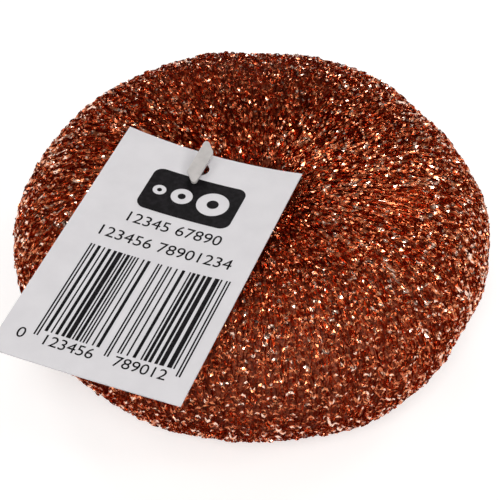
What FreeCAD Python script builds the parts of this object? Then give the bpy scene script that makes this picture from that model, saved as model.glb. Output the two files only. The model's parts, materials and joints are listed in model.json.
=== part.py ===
import FreeCAD, Part
import math
import os
import Sketcher

# A ring scourer rolled from one knitted copper sleeve, with a card swing tag on a nylon tag pin.
# Millimetres. +Z is up, the origin is on the table under the ring's axis, the tag lies over the front, -Y.

# Every driving size: its name, its value and what it measures.
SIZES = [
    ("ring_diameter", 109.0, "outside of the ring, seen from above"),
    ("dimple_radius", 8.2, "radius of the dimple's wall"),
    ("gather_wall", 3.8, "from the dimple's wall out to the narrowest place of the hole below"),
    ("flat_depth", 0.5, "how much the roll is pressed flat where it stands"),
    ("shoulder_round", 55.0, "rounding of the broad shoulder inside the crown"),
    ("lip_round", 9.0, "rounding of the dimple's lip"),
    ("wall_drop", 2.1, "straight fall of the dimple's wall below its lip"),
    ("floor_dish", 1.0, "sink of the gathered floor at its middle"),
    ("floor_thickness", 4.0, "from the foot of the dimple's wall to the floor's lower face"),
    ("floor_round", 1.8, "rounding where the floor meets the dimple's wall"),
    ("pleat_count", 12.0, "gathered folds round the middle"),
    ("pleat_start", 2.8, "radius where a fold begins"),
    ("pleat_end", 7.2, "radius where a fold has run out"),
    ("pleat_width", 0.9, "width of a fold at its start"),
    ("pleat_depth", 1.0, "depth of a fold at its start"),
    ("pleat_end_depth", 0.25, "depth of a fold where it runs out"),
    ("neck_radius", 2.4, "radius of the gathered neck inside the tie"),
    ("neck_length", 2.2, "length of the gathered neck"),
    ("tuft_length", 9.8, "length of the gathered tuft below the neck"),
    ("tuft_foot_radius", 4.4, "radius of the tuft's splayed lower end"),
    ("tie_wire", 1.0, "thickness of the tie's wire"),
    ("tie_gap", 0.1, "clearance between the tie and the neck"),
    ("tie_sweep", 330.0, "how far the tie goes round, in degrees"),
    ("pin_inset", 1.8, "from the dimple's wall out to the pin's foot"),
    ("needle_hole", 1.4, "hole that the needle leaves in the floor"),
    ("tbar_diameter", 1.1, "thickness of the pin's cross bar"),
    ("tbar_length", 9.0, "length of the pin's cross bar"),
    ("tbar_gap", 0.1, "clearance between the cross bar and the floor"),
    ("tbar_round", 0.35, "rounding of the cross bar's ends"),
    ("stem_diameter", 0.9, "thickness of the stem above the cross bar"),
    ("stem_show", 0.4, "how far the stem stands out of the mesh"),
    ("filament_diameter", 0.7, "thickness of the pin's filament"),
    ("filament_end", 0.6, "straight length at each end of the filament"),
    ("pin_lean", 1.1, "how far the filament leans out to the tag"),
    ("tag_turn", 20.7, "turn of the tag about the pin, in degrees"),
    ("tag_width", 41.0, "width of the card"),
    ("tag_length", 69.0, "length of the card"),
    ("tag_thickness", 0.35, "thickness of the card"),
    ("bow_top", 1.9, "sag of the card across its holed end"),
    ("bow_tail", 0.3, "sag of the card across its free end"),
    ("bow_side", 2.5, "from the card's middle line to the line where it sags lowest"),
    ("top_dip", 0.15, "how far the holed end hangs below the ring's crown"),
    ("tail_rise", 1.0, "height of the free end above the ring's crown"),
    ("hole_diameter", 4.2, "hole in the card"),
    ("hole_inset", 5.2, "from the hole's middle to the card's end"),
    ("hole_side", 1.5, "from the hole's middle to the card's middle line"),
    ("neck_play", 1.2, "from the pin to the hole's middle, along the card"),
    ("paddle_turn", 24.0, "turn of the paddle about the pin, in degrees"),
    ("paddle_tilt", 9.0, "slope of the paddle up to its tip, in degrees"),
    ("paddle_side", 10.4, "length of the paddle's long sides, before rounding"),
    ("paddle_slant", 3.4, "how far one long side is set along from the other"),
    ("paddle_width", 3.1, "width of the paddle between its long sides"),
    ("paddle_offset", 0.7, "from the pin back to the paddle's middle"),
    ("paddle_round", 0.7, "rounding of the paddle's corners"),
    ("paddle_thickness", 0.7, "thickness of the paddle"),
    ("paddle_gap", 0.3, "clearance between the corner of the paddle's tail and the card"),
    ("paddle_neck", 1.0, "thickness of the pin in the card's hole"),
    ("neck_drop", 0.4, "how far the paddle's neck hangs below the card"),
]

# Lengths that several pieces share, written as expressions of the sheet.
SECTION_RADIUS = "((Sizes.ring_diameter / 2 - Sizes.dimple_radius - Sizes.gather_wall) / 2)"
CROWN = f"(2 * {SECTION_RADIUS} - Sizes.flat_depth)"
ROLL_RADIUS = f"(Sizes.ring_diameter / 2 - {SECTION_RADIUS})"
ROLL_HEIGHT = f"({SECTION_RADIUS} - Sizes.flat_depth)"
LIP_RADIUS = "(Sizes.dimple_radius + Sizes.lip_round)"
LIP_HEIGHT = (
    f"({CROWN} - Sizes.shoulder_round"
    f" + sqrt((Sizes.shoulder_round - Sizes.lip_round)^2 - ({ROLL_RADIUS} - {LIP_RADIUS})^2))"
)
FLOOR_RIM = f"({LIP_HEIGHT} - Sizes.wall_drop)"
FLOOR_CENTRE = f"({FLOOR_RIM} - Sizes.floor_dish)"
FLOOR_UNDERSIDE = f"({FLOOR_RIM} - Sizes.floor_thickness)"
TUFT_FOOT = f"({FLOOR_UNDERSIDE} - Sizes.neck_length - Sizes.tuft_length)"
PIN_RADIUS = "(Sizes.dimple_radius + Sizes.pin_inset)"
STEM_TOP = (
    f"({LIP_HEIGHT} + sqrt(Sizes.lip_round^2 - (Sizes.lip_round - Sizes.pin_inset)^2) + Sizes.stem_show)"
)
TBAR_HEIGHT = f"({FLOOR_UNDERSIDE} - Sizes.tbar_gap - Sizes.tbar_diameter / 2)"
PIN_TOP = f"({CROWN} - Sizes.top_dip - Sizes.neck_drop)"
CARD_LOWEST = "(Sizes.hole_side + Sizes.bow_side)"
PADDLE_TAIL = "((Sizes.paddle_side + Sizes.paddle_slant) / 2 + Sizes.paddle_offset)"

# The numbers of a sketch curve's own points, and of the sketch's axes and origin.
START, END, CENTRE = range(1, 4)
X_AXIS, Y_AXIS = range(-1, -3, -1)
ORIGIN = (X_AXIS, START)
CLOSE = 1e-6


def add_sheet(doc):
    """Write the driving sizes to a spreadsheet, one named cell each."""
    sheet = doc.addObject("Spreadsheet::Sheet", "Sizes")
    for row, (alias, value, note) in enumerate(SIZES, start=1):
        sheet.set(f"A{row}", note)
        sheet.set(f"B{row}", str(value))
        sheet.setAlias(f"B{row}", alias)
    doc.recompute()
    return sheet


def measure(sheet, expression):
    """The present value of an expression of the sheet's sizes."""
    return float(sheet.evalExpression(expression.replace("Sizes.", "")))


def add_body(doc, label):
    """Start a new piece."""
    body = doc.addObject("PartDesign::Body", label)
    body.Label = label
    return body


def origin_feature(body, role):
    """One of the piece's own base planes or axes."""
    return next(f for f in body.Origin.OriginFeatures if f.Role == role)


def add_sketch(body, name, role):
    """Start a sketch on one of the piece's base planes."""
    sketch = body.newObject("Sketcher::SketchObject", name)
    sketch.AttachmentSupport = [(origin_feature(body, role), "")]
    sketch.MapMode = "FlatFace"
    return sketch


def join(sketch, first, first_end, second, second_end):
    """Make two ends of sketch curves meet."""
    sketch.addConstraint(Sketcher.Constraint("Coincident", first, first_end, second, second_end))


def dimension(sheet, sketch, name, kind, where, expression):
    """Add a sketch dimension that follows an expression of the sheet's sizes."""
    value = measure(sheet, expression)
    index = sketch.addConstraint(Sketcher.Constraint(kind, *where, value))
    sketch.renameConstraint(index, name)
    sketch.setExpression(f"Constraints.{name}", expression)


def place_point(sheet, sketch, name, point, x, y):
    """Fix a sketch point at a distance from the sketch's origin, across and up."""
    dimension(sheet, sketch, f"{name}_x", "DistanceX", (*ORIGIN, *point), x)
    dimension(sheet, sketch, f"{name}_y", "DistanceY", (*ORIGIN, *point), y)


def add_circle(sheet, sketch, diameter, x="0", y="0"):
    """Draw a circle whose middle and diameter follow the sheet."""
    middle = FreeCAD.Vector(measure(sheet, x), measure(sheet, y), 0)
    radius = measure(sheet, diameter) / 2
    circle = sketch.addGeometry(Part.Circle(middle, FreeCAD.Vector(0, 0, 1), radius))
    dimension(sheet, sketch, "diameter", "Diameter", (circle,), diameter)
    if (x, y) == ("0", "0"):
        join(sketch, circle, CENTRE, *ORIGIN)
    elif y == "0":
        sketch.addConstraint(Sketcher.Constraint("PointOnObject", circle, CENTRE, X_AXIS))
        dimension(sheet, sketch, "across", "DistanceX", (*ORIGIN, circle, CENTRE), x)
    elif x == "0":
        sketch.addConstraint(Sketcher.Constraint("PointOnObject", circle, CENTRE, Y_AXIS))
        dimension(sheet, sketch, "up", "DistanceY", (*ORIGIN, circle, CENTRE), y)


def arc(middle, radius, first, last):
    """An anticlockwise arc between two angles, in radians."""
    circle = Part.Circle(FreeCAD.Vector(*middle, 0), FreeCAD.Vector(0, 0, 1), radius)
    return Part.ArcOfCircle(circle, first, last)


def segment(first, last):
    """A straight line between two sketch points."""
    return Part.LineSegment(FreeCAD.Vector(*first, 0), FreeCAD.Vector(*last, 0))


def draw_sleeve_section(sheet, sketch):
    """Draw half the ring's section: roll, dimple, gathered floor, neck and tuft, closed along the axis."""
    roll = (measure(sheet, ROLL_RADIUS), measure(sheet, ROLL_HEIGHT))
    lip = (measure(sheet, LIP_RADIUS), measure(sheet, LIP_HEIGHT))
    shoulder = (roll[0], measure(sheet, CROWN) - sheet.shoulder_round)
    radius = measure(sheet, SECTION_RADIUS)
    rim = measure(sheet, FLOOR_RIM)
    centre = measure(sheet, FLOOR_CENTRE)
    underside = measure(sheet, FLOOR_UNDERSIDE)
    foot_height = measure(sheet, TUFT_FOOT)
    up = math.pi / 2
    ease = math.atan2(roll[0] - lip[0], lip[1] - shoulder[1])
    fall = math.asin((underside - roll[1]) / radius)
    flat = math.asin(roll[1] / radius)
    flat_half = radius * math.cos(flat)
    wall_foot = (sheet.dimple_radius, rim)
    corner = (roll[0] - radius * math.cos(fall), underside)
    neck_top = (sheet.neck_radius, underside)
    neck_end = (sheet.neck_radius, underside - sheet.neck_length)
    foot = (sheet.tuft_foot_radius, foot_height)

    floor = sketch.addGeometry(segment((0, centre), wall_foot))
    wall = sketch.addGeometry(segment(wall_foot, (sheet.dimple_radius, lip[1])))
    edge = sketch.addGeometry(arc(lip, sheet.lip_round, up + ease, math.pi))
    broad = sketch.addGeometry(arc(shoulder, sheet.shoulder_round, up, up + ease))
    outside = sketch.addGeometry(arc(roll, radius, -flat, up))
    stand = sketch.addGeometry(segment((roll[0] + flat_half, 0), (roll[0] - flat_half, 0)))
    inside = sketch.addGeometry(arc(roll, radius, math.pi - fall, math.pi + flat))
    under = sketch.addGeometry(segment(corner, neck_top))
    neck = sketch.addGeometry(segment(neck_top, neck_end))
    splay = sketch.addGeometry(segment(neck_end, foot))
    base = sketch.addGeometry(segment(foot, (0, foot_height)))
    axis = sketch.addGeometry(segment((0, foot_height), (0, centre)))

    join(sketch, floor, END, wall, START)
    smooth = ((wall, END, edge, END), (edge, START, broad, END), (broad, START, outside, END))
    for ends in smooth:
        sketch.addConstraint(Sketcher.Constraint("Tangent", *ends))
    join(sketch, outside, START, stand, START)
    join(sketch, stand, END, inside, END)
    join(sketch, inside, START, under, START)
    join(sketch, under, END, neck, START)
    join(sketch, neck, END, splay, START)
    join(sketch, splay, END, base, START)
    join(sketch, base, END, axis, START)
    join(sketch, axis, END, floor, START)
    join(sketch, outside, CENTRE, inside, CENTRE)
    sketch.addConstraint(Sketcher.Constraint("Equal", outside, inside))
    for point in (START, END):
        sketch.addConstraint(Sketcher.Constraint("PointOnObject", stand, point, X_AXIS))
        sketch.addConstraint(Sketcher.Constraint("PointOnObject", axis, point, Y_AXIS))
    for level in (under, base):
        sketch.addConstraint(Sketcher.Constraint("Horizontal", level))
    for upright in (wall, neck):
        sketch.addConstraint(Sketcher.Constraint("Vertical", upright))
    sketch.addConstraint(Sketcher.Constraint("Vertical", outside, CENTRE, outside, END))

    place_point(sheet, sketch, "roll", (outside, CENTRE), ROLL_RADIUS, ROLL_HEIGHT)
    rounds = (
        ("section", outside, SECTION_RADIUS),
        ("shoulder", broad, "Sizes.shoulder_round"),
        ("lip", edge, "Sizes.lip_round"),
    )
    for name, curve, expression in rounds:
        dimension(sheet, sketch, name, "Radius", (curve,), expression)
    heights = (
        ("floor_centre", (floor, START), FLOOR_CENTRE),
        ("floor_rim", (floor, END), FLOOR_RIM),
        ("floor_underside", (under, START), FLOOR_UNDERSIDE),
        ("tuft_foot", (base, START), TUFT_FOOT),
    )
    for name, point, expression in heights:
        dimension(sheet, sketch, name, "DistanceY", (*ORIGIN, *point), expression)
    radii = (
        ("dimple_radius", (wall, START), "Sizes.dimple_radius"),
        ("neck_radius", (neck, START), "Sizes.neck_radius"),
        ("foot_radius", (base, START), "Sizes.tuft_foot_radius"),
    )
    for name, point, expression in radii:
        dimension(sheet, sketch, name, "DistanceX", (*ORIGIN, *point), expression)
    dimension(sheet, sketch, "neck_length", "Distance", (neck,), "Sizes.neck_length")


def draw_fold(sheet, sketch, width, depth, height):
    """Draw a fold's cross-section, a notch as wide as it is open at the floor's face."""
    half = measure(sheet, width) / 2
    bottom = measure(sheet, height) - measure(sheet, depth)
    top = measure(sheet, height) + measure(sheet, depth)
    left = sketch.addGeometry(segment((0, bottom), (-half * 2, top)))
    lid = sketch.addGeometry(segment((-half * 2, top), (half * 2, top)))
    right = sketch.addGeometry(segment((half * 2, top), (0, bottom)))
    join(sketch, left, END, lid, START)
    join(sketch, lid, END, right, START)
    join(sketch, right, END, left, START)
    sketch.addConstraint(Sketcher.Constraint("PointOnObject", left, START, Y_AXIS))
    sketch.addConstraint(Sketcher.Constraint("Horizontal", lid))
    sketch.addConstraint(Sketcher.Constraint("Equal", left, right))
    dimension(sheet, sketch, "bottom", "DistanceY", (*ORIGIN, left, START), f"{height} - {depth}")
    dimension(sheet, sketch, "top", "DistanceY", (*ORIGIN, lid, START), f"{height} + {depth}")
    dimension(sheet, sketch, "lid", "Distance", (lid,), f"2 * {width}")


def floor_height(radius):
    """Expression for the height of the gathered floor at a radius."""
    return f"({FLOOR_CENTRE} + Sizes.floor_dish * {radius} / Sizes.dimple_radius)"


def add_folds(doc, sheet, body):
    """Gather the floor: one tapering fold cut along a radius, then repeated round the axis."""
    narrowed = "(Sizes.pleat_width * Sizes.pleat_end_depth / Sizes.pleat_depth)"
    ends = (
        ("FoldStart", "Sizes.pleat_start", "Sizes.pleat_width", "Sizes.pleat_depth"),
        ("FoldEnd", "Sizes.pleat_end", narrowed, "Sizes.pleat_end_depth"),
    )
    sketches = []
    for name, radius, width, depth in ends:
        sketch = add_sketch(body, name, "YZ_Plane")
        sketch.setExpression("AttachmentOffset.Base.z", radius)
        draw_fold(sheet, sketch, width, depth, floor_height(radius))
        sketches.append(sketch)
    fold = body.newObject("PartDesign::SubtractiveLoft", "Fold")
    fold.Profile = sketches[0]
    fold.Sections = sketches[1:]
    fold.Ruled = True
    doc.recompute()
    folds = body.newObject("PartDesign::PolarPattern", "Folds")
    folds.Originals = [fold]
    folds.Axis = (origin_feature(body, "Z_Axis"), [""])
    folds.Angle = 360
    folds.setExpression("Occurrences", "Sizes.pleat_count")
    body.Tip = folds


def edges_at(shape, height):
    """Names of the shape's round edges about the axis at a height."""
    names = []
    for number, edge in enumerate(shape.Edges, start=1):
        if isinstance(edge.Curve, Part.Circle) and abs(edge.Curve.Center.z - height) < CLOSE:
            names.append(f"Edge{number}")
    return names


def make_sleeve(doc, sheet):
    """The knitted sleeve: rolled into a ring, its free end gathered to a floor and a tuft."""
    body = add_body(doc, "knitted_sleeve")
    section = add_sketch(body, "RollSection", "XZ_Plane")
    draw_sleeve_section(sheet, section)
    roll = body.newObject("PartDesign::Revolution", "Roll")
    roll.Profile = section
    roll.ReferenceAxis = (origin_feature(body, "Z_Axis"), [""])
    roll.Angle = 360
    doc.recompute()

    rounding = body.newObject("PartDesign::Fillet", "FloorRounding")
    rounding.Base = (roll, edges_at(roll.Shape, measure(sheet, FLOOR_RIM)))
    rounding.setExpression("Radius", "Sizes.floor_round")
    doc.recompute()

    needle = add_sketch(body, "Needle", "XY_Plane")
    add_circle(sheet, needle, "Sizes.needle_hole", x=f"-{PIN_RADIUS}")
    hole = body.newObject("PartDesign::Pocket", "NeedleHole")
    hole.Profile = needle
    hole.Type = "ThroughAll"
    hole.Midplane = True
    doc.recompute()
    add_folds(doc, sheet, body)
    return body


def make_tie(doc):
    """The tie: a wire bent round the gathered neck, open at its ends."""
    tie = doc.addObject("Part::Torus", "centre_tie")
    tie.Label = "centre_tie"
    tie.setExpression("Radius1", "Sizes.neck_radius + Sizes.tie_gap + Sizes.tie_wire / 2")
    tie.setExpression("Radius2", "Sizes.tie_wire / 2")
    tie.setExpression("Angle3", "Sizes.tie_sweep")
    tie.setExpression("Placement.Base.z", f"{FLOOR_UNDERSIDE} - Sizes.neck_length / 2")
    return tie


def make_crossbar(doc, sheet):
    """The pin's foot: a cross bar under the floor, and the stem that comes up through it."""
    body = add_body(doc, "pin_crossbar")
    body.setExpression("Placement.Base.x", f"-{PIN_RADIUS}")
    section = add_sketch(body, "BarSection", "XZ_Plane")
    add_circle(sheet, section, "Sizes.tbar_diameter", y=TBAR_HEIGHT)
    bar = body.newObject("PartDesign::Pad", "Bar")
    bar.Profile = section
    bar.Midplane = True
    bar.setExpression("Length", "Sizes.tbar_length")
    doc.recompute()
    rounding = body.newObject("PartDesign::Fillet", "BarEnds")
    ends = [f"Edge{n}" for n, e in enumerate(bar.Shape.Edges, start=1) if isinstance(e.Curve, Part.Circle)]
    rounding.Base = (bar, ends)
    rounding.setExpression("Radius", "Sizes.tbar_round")
    doc.recompute()
    foot = add_sketch(body, "StemSection", "XY_Plane")
    foot.setExpression("AttachmentOffset.Base.z", TBAR_HEIGHT)
    add_circle(sheet, foot, "Sizes.stem_diameter")
    stem = body.newObject("PartDesign::Pad", "Stem")
    stem.Profile = foot
    stem.setExpression("Length", f"{STEM_TOP} - {TBAR_HEIGHT}")
    return body


def draw_filament_path(sheet, sketch):
    """Draw the filament's line: straight up, an S of two equal arcs, straight up again."""
    low = measure(sheet, STEM_TOP)
    high = measure(sheet, PIN_TOP)
    run = sheet.filament_end
    lean = sheet.pin_lean
    climb = high - low - 2 * run
    turn = 2 * math.atan2(lean, climb)
    radius = climb / 2 / math.sin(turn)
    first = sketch.addGeometry(segment((0, low), (0, low + run)))
    away = sketch.addGeometry(arc((-radius, low + run), radius, 0, turn))
    back = sketch.addGeometry(arc((radius - lean, high - run), radius, math.pi, math.pi + turn))
    last = sketch.addGeometry(segment((-lean, high - run), (-lean, high)))
    joints = ((first, END, away, START), (away, END, back, END), (back, START, last, START))
    for joint in joints:
        sketch.addConstraint(Sketcher.Constraint("Tangent", *joint))
    sketch.addConstraint(Sketcher.Constraint("Equal", away, back))
    sketch.addConstraint(Sketcher.Constraint("PointOnObject", first, START, Y_AXIS))
    sketch.addConstraint(Sketcher.Constraint("Vertical", first))
    sketch.addConstraint(Sketcher.Constraint("Vertical", last))
    sketch.addConstraint(Sketcher.Constraint("Equal", first, last))
    dimension(sheet, sketch, "foot", "DistanceY", (*ORIGIN, first, START), STEM_TOP)
    dimension(sheet, sketch, "run", "Distance", (first,), "Sizes.filament_end")
    place_point(sheet, sketch, "head", (last, END), "-Sizes.pin_lean", PIN_TOP)
    print(f"filament arcs: radius {radius:.2f}, turn {math.degrees(turn):.1f} degrees")


def make_filament(doc, sheet):
    """The pin's filament: a thin round thread from the stem up to the card's hole."""
    body = add_body(doc, "pin_filament")
    body.setExpression("Placement.Base.x", f"-{PIN_RADIUS}")
    path = add_sketch(body, "FilamentPath", "XZ_Plane")
    draw_filament_path(sheet, path)
    section = add_sketch(body, "FilamentSection", "XY_Plane")
    section.setExpression("AttachmentOffset.Base.z", STEM_TOP)
    add_circle(sheet, section, "Sizes.filament_diameter")
    doc.recompute()
    thread = body.newObject("PartDesign::AdditivePipe", "Filament")
    thread.Profile = section
    thread.Spine = (path, [f"Edge{n}" for n in range(1, len(path.Shape.Edges) + 1)])
    return body


def draw_card_end(sheet, sketch, bow, height):
    """Draw the card's section across one end: a thin band that sags, lowest beside its middle."""
    radius_of = f"(((Sizes.tag_width / 2)^2 + {bow}^2) / (2 * {bow}))"
    left_of = "Sizes.tag_width / 2 + Sizes.bow_side"
    right_of = "Sizes.tag_width / 2 - Sizes.bow_side"
    radius = measure(sheet, radius_of)
    across = measure(sheet, CARD_LOWEST)
    low = measure(sheet, height)
    thick = sheet.tag_thickness
    left_reach = measure(sheet, left_of)
    right_reach = measure(sheet, right_of)
    left_turn = math.asin(left_reach / radius)
    right_turn = math.asin(right_reach / radius)
    down = 1.5 * math.pi
    angles = (down - left_turn, down + right_turn)
    left_foot = (across - left_reach, low + radius * (1 - math.cos(left_turn)))
    right_foot = (across + right_reach, low + radius * (1 - math.cos(right_turn)))
    lower = sketch.addGeometry(arc((across, low + radius), radius, *angles))
    upper = sketch.addGeometry(arc((across, low + thick + radius), radius, *angles))
    left = sketch.addGeometry(segment(left_foot, (left_foot[0], left_foot[1] + thick)))
    right = sketch.addGeometry(segment(right_foot, (right_foot[0], right_foot[1] + thick)))
    join(sketch, left, START, lower, START)
    join(sketch, left, END, upper, START)
    join(sketch, right, START, lower, END)
    join(sketch, right, END, upper, END)
    sketch.addConstraint(Sketcher.Constraint("Vertical", left))
    sketch.addConstraint(Sketcher.Constraint("Vertical", right))
    sketch.addConstraint(Sketcher.Constraint("Equal", lower, upper))
    sketch.addConstraint(Sketcher.Constraint("Equal", left, right))
    place_point(sheet, sketch, "sag", (lower, CENTRE), CARD_LOWEST, f"{height} + {radius_of}")
    dimension(sheet, sketch, "radius", "Radius", (lower,), radius_of)
    dimension(sheet, sketch, "left_reach", "DistanceX", (lower, START, lower, CENTRE), left_of)
    dimension(sheet, sketch, "right_reach", "DistanceX", (lower, CENTRE, lower, END), right_of)
    dimension(sheet, sketch, "thickness", "Distance", (left,), "Sizes.tag_thickness")


def stand_on_pin(piece, turn):
    """Put a piece's own axis on the pin's upper end and turn the piece clockwise, seen from above."""
    down = FreeCAD.Vector(0, 0, -1)
    piece.Placement = FreeCAD.Placement(FreeCAD.Vector(), FreeCAD.Rotation(down, 1))
    piece.setExpression("Placement.Base.x", f"-({PIN_RADIUS} + Sizes.pin_lean)")
    piece.setExpression("Placement.Rotation.Angle", f"{turn} * 1 deg")


def make_tag(doc, sheet):
    """The swing tag: a card that sags across its holed end and lies almost flat at its free end."""
    body = add_body(doc, "swing_tag")
    stand_on_pin(body, "Sizes.tag_turn")
    holed = add_sketch(body, "HoledEnd", "XZ_Plane")
    holed.setExpression("AttachmentOffset.Base.z", "Sizes.neck_play - Sizes.hole_inset")
    draw_card_end(sheet, holed, "Sizes.bow_top", f"({CROWN} - Sizes.top_dip)")
    free = add_sketch(body, "FreeEnd", "XZ_Plane")
    free.setExpression("AttachmentOffset.Base.z", "Sizes.tag_length + Sizes.neck_play - Sizes.hole_inset")
    draw_card_end(sheet, free, "Sizes.bow_tail", f"({CROWN} + Sizes.tail_rise)")
    card = body.newObject("PartDesign::AdditiveLoft", "Card")
    card.Profile = holed
    card.Sections = [free]
    card.Ruled = True
    doc.recompute()
    punch = add_sketch(body, "Punch", "XY_Plane")
    add_circle(sheet, punch, "Sizes.hole_diameter", y="-Sizes.neck_play")
    hole = body.newObject("PartDesign::Pocket", "TagHole")
    hole.Profile = punch
    hole.Type = "ThroughAll"
    hole.Midplane = True
    return body


def draw_paddle(sheet, sketch):
    """Draw the paddle's outline: two equal long sides, one set along from the other, and slanting ends."""
    half = sheet.paddle_width / 2
    tail = -measure(sheet, PADDLE_TAIL)
    right_foot = (half, tail)
    right_head = (half, tail + sheet.paddle_side)
    left_foot = (-half, tail + sheet.paddle_slant)
    left_head = (-half, tail + sheet.paddle_slant + sheet.paddle_side)
    corners = (right_foot, right_head, left_head, left_foot)
    ends = corners[1:] + corners[:1]
    sides = [sketch.addGeometry(segment(first, last)) for first, last in zip(corners, ends)]
    right, tip, left, butt = sides
    for first, last in ((right, tip), (tip, left), (left, butt), (butt, right)):
        join(sketch, first, END, last, START)
    for upright in (right, left):
        sketch.addConstraint(Sketcher.Constraint("Vertical", upright))
    sketch.addConstraint(Sketcher.Constraint("Equal", right, left))
    place_point(sheet, sketch, "tail", (right, START), "Sizes.paddle_width / 2", f"-{PADDLE_TAIL}")
    dimension(sheet, sketch, "side", "Distance", (right,), "Sizes.paddle_side")
    dimension(sheet, sketch, "width", "DistanceX", (butt, START, butt, END), "Sizes.paddle_width")
    dimension(sheet, sketch, "slant", "DistanceY", (butt, END, butt, START), "Sizes.paddle_slant")


def make_paddle(doc, sheet):
    """The pin's head: a flat paddle with slanting ends over the hole, on a neck that goes through it."""
    lift = (
        f"({CROWN} - Sizes.top_dip + Sizes.tag_thickness + Sizes.paddle_gap"
        f" + {PADDLE_TAIL} * sin(Sizes.paddle_tilt * 1 deg))"
    )
    body = add_body(doc, "pin_paddle")
    stand_on_pin(body, "Sizes.paddle_turn")
    outline = add_sketch(body, "PaddleOutline", "XY_Plane")
    outline.AttachmentOffset = FreeCAD.Placement(
        FreeCAD.Vector(), FreeCAD.Rotation(FreeCAD.Vector(1, 0, 0), sheet.paddle_tilt)
    )
    outline.setExpression("AttachmentOffset.Base.z", lift)
    outline.setExpression("AttachmentOffset.Rotation.Angle", "Sizes.paddle_tilt * 1 deg")
    draw_paddle(sheet, outline)
    blade = body.newObject("PartDesign::Pad", "Paddle")
    blade.Profile = outline
    blade.setExpression("Length", "Sizes.paddle_thickness")
    doc.recompute()

    rounding = body.newObject("PartDesign::Fillet", "PaddleCorners")
    thick = sheet.paddle_thickness
    corners = [f"Edge{n}" for n, e in enumerate(blade.Shape.Edges, start=1) if abs(e.Length - thick) < CLOSE]
    rounding.Base = (blade, corners)
    rounding.setExpression("Radius", "Sizes.paddle_round")
    doc.recompute()

    foot = add_sketch(body, "NeckSection", "XY_Plane")
    foot.setExpression("AttachmentOffset.Base.z", PIN_TOP)
    add_circle(sheet, foot, "Sizes.paddle_neck")
    neck = body.newObject("PartDesign::Pad", "Neck")
    neck.Profile = foot
    neck.setExpression("Length", f"{lift} + Sizes.paddle_thickness / 2 - {PIN_TOP}")
    return body


def check_document(doc, pieces):
    """Stop if any object failed, or a piece isn't one valid solid."""
    for item in doc.Objects:
        if any(word in item.State for word in ("Invalid", "Error")):
            raise RuntimeError(f"{item.Label} failed: {item.State}")
    for piece in pieces:
        shape = piece.Shape
        if shape.isNull() or not shape.isValid() or len(shape.Solids) != 1:
            raise RuntimeError(f"{piece.Label} is not one valid solid")


def write_pieces(pieces):
    """Write each piece to its own file, named by its label."""
    os.makedirs("parts", exist_ok=True)
    for piece in pieces:
        piece.Shape.exportStep(f"parts/{piece.Label}.step")
        box = piece.Shape.BoundBox
        print(
            f"{piece.Label}: {piece.Shape.Volume:.2f} mm3,"
            f" x {box.XMin:.2f} to {box.XMax:.2f}, y {box.YMin:.2f} to {box.YMax:.2f},"
            f" z {box.ZMin:.2f} to {box.ZMax:.2f}"
        )


def main():
    doc = FreeCAD.newDocument("scourer")
    sheet = add_sheet(doc)
    pieces = [
        make_sleeve(doc, sheet),
        make_tie(doc),
        make_crossbar(doc, sheet),
        make_filament(doc, sheet),
        make_tag(doc, sheet),
        make_paddle(doc, sheet),
    ]
    doc.recompute()
    check_document(doc, pieces)
    write_pieces(pieces)


main()
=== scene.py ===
# %% [markdown]
# A knitted copper scourer with a swing tag.
# The scourer is one long tube of knitted copper ribbon, rolled up on itself into a fat ring. A card tag
# lies on its crown, held by a nylon tag pin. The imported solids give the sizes, places and joints. This
# lesson gives them their looks: real stitches for the mesh, card, print and moulded nylon for the rest.

# %% Load the frame
import json
import math

import bpy
import numpy as np
from mathutils import Matrix, Vector

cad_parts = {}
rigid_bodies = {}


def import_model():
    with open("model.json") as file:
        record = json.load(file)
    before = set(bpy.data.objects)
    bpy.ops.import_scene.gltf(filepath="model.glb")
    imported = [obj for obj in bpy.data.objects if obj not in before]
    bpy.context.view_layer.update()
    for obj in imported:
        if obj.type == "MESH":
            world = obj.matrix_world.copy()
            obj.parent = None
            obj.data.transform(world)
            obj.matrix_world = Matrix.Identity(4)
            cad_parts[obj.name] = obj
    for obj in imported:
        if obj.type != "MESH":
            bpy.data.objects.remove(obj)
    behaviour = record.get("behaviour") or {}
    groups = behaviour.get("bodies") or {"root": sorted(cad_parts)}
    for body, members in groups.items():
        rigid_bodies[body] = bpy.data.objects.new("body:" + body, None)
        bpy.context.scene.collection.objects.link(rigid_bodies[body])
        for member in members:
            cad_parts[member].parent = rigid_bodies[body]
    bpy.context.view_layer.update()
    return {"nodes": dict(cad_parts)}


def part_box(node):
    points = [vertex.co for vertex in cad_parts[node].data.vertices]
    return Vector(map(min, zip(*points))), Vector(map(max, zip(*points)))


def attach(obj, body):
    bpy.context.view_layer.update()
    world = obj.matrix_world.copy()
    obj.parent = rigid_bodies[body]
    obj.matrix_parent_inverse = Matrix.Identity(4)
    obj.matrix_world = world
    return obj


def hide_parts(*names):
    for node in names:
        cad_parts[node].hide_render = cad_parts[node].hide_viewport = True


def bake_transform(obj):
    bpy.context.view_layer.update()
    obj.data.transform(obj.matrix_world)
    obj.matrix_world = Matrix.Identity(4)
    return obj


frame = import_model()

MM = 0.001
TURN = 2 * math.pi

# %% [markdown]
# The camera.
# The photograph looks down at about 45 degrees from a short distance, so the ring's far side is visibly
# smaller than its near side. A camera can be turned by angles, but aiming it at a point is easier to
# check: the point that should be in the middle of the picture is simply named.

# %% Place the camera
EYE = Vector((0.0, -250.85 * MM, 271.57 * MM))
AIM = Vector((-0.5 * MM, -2.6 * MM, 18.4 * MM))
LENS = 110.7
SENSOR = 36.0
NEAREST = 10 * MM


def aim_at(obj, target):
    """Turn a camera or lamp so that it looks at a point."""
    obj.rotation_euler = (target - obj.location).to_track_quat("-Z", "Y").to_euler()


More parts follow.
